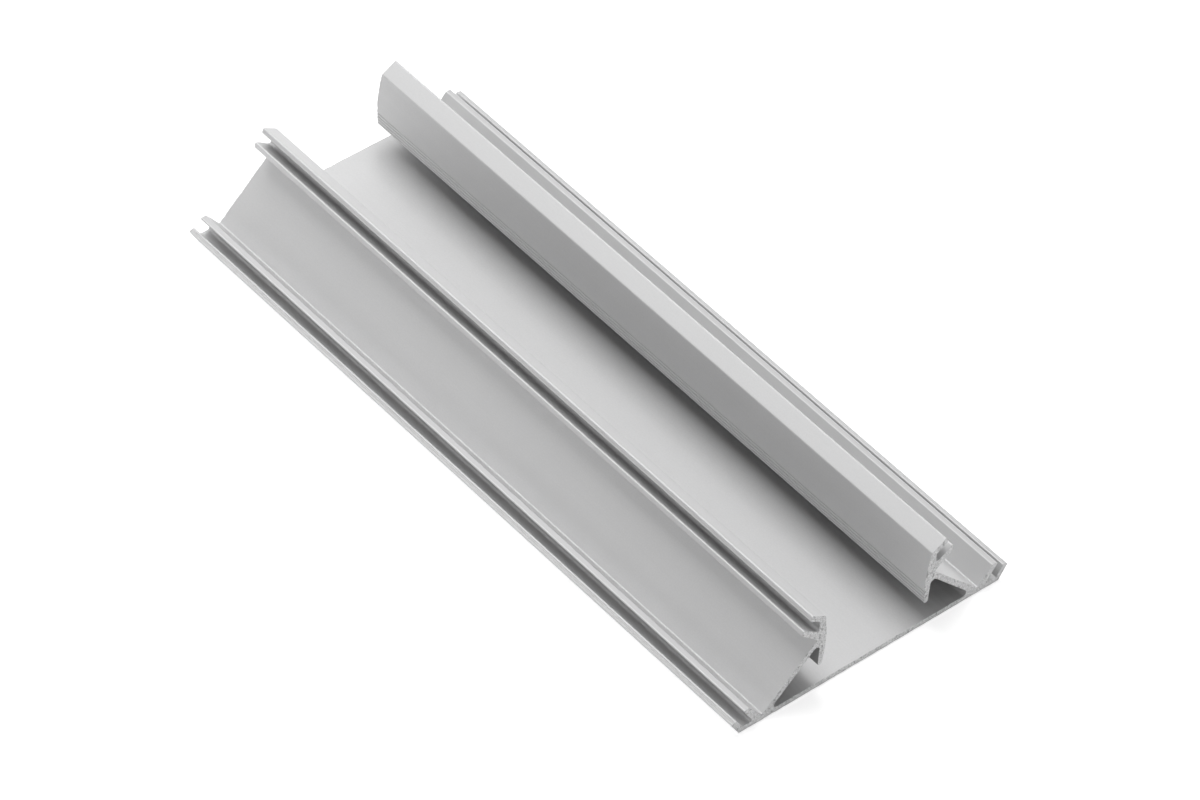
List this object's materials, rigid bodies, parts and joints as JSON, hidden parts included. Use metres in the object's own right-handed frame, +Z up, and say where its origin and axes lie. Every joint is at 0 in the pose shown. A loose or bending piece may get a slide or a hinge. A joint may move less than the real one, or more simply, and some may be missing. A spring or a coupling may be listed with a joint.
{
  "type": "aluminium led profile",
  "caption": "Extruded anodised aluminium profile with a flat base, a central channel and slanted light chambers with cover grooves along its edges.",
  "frame": {"origin": "centre of the underside of the base plate", "axes": "+Y along the extrusion, +X across it, +Z up out of the open side"},
  "size_m": [0.049, 0.116, 0.0151],
  "materials": {
    "anodised_aluminium": "matt natural anodised"
  },
  "bodies": {
    "root": {"led_profile": "anodised_aluminium"}
  },
  "joints": []
}
